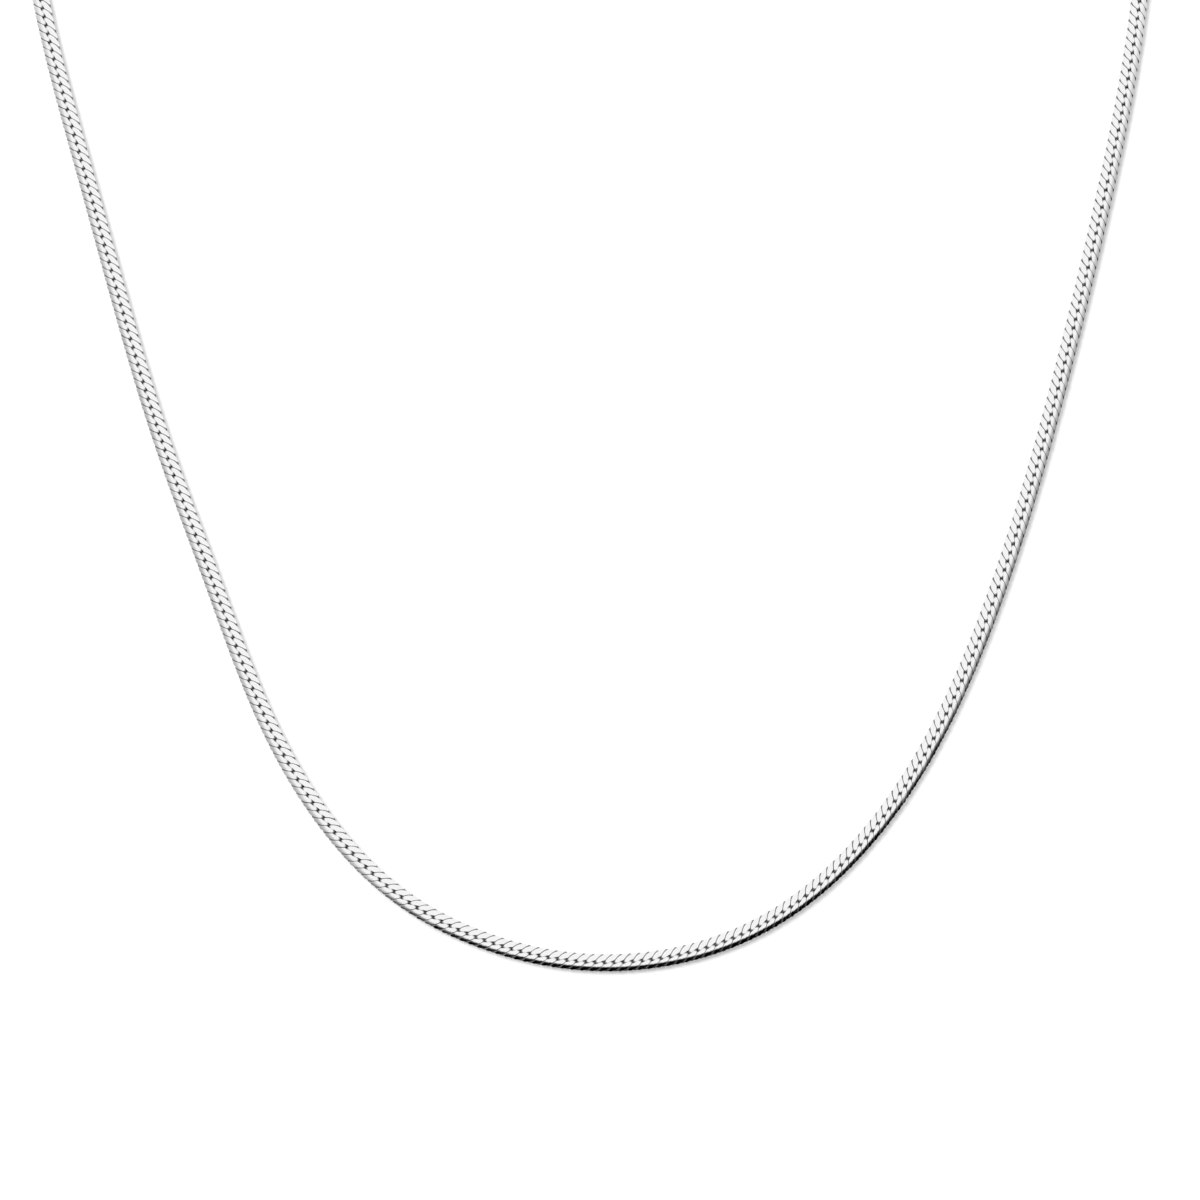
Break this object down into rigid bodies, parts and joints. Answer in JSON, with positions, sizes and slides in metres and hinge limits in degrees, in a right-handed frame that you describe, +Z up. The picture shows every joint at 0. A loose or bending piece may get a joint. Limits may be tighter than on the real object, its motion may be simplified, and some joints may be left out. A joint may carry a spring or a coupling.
{
  "type": "curb chain necklace",
  "caption": "Fine polished double curb chain necklace of tightly set twisted oval links, fastened by a round clasp on two jump rings and laid as a closed loop.",
  "frame": {"origin": "middle of the loop's bounding box, on the surface that the necklace lies on", "axes": "+Z up from the surface, +Y from the front of the necklace towards its clasp, +X to the right as the front is seen from above"},
  "size_m": [0.1307, 0.191, 0.0023],
  "materials": {
    "silver_chain": "polished sterling silver, the faces of the links diamond-cut to a soft dome, darker between the links",
    "silver_fittings": "polished sterling silver"
  },
  "bodies": {
    "root": {"chain": "silver_chain", "clasp": "silver_fittings", "clasp_ring": "silver_fittings", "end_ring": "silver_fittings"}
  },
  "joints": []
}
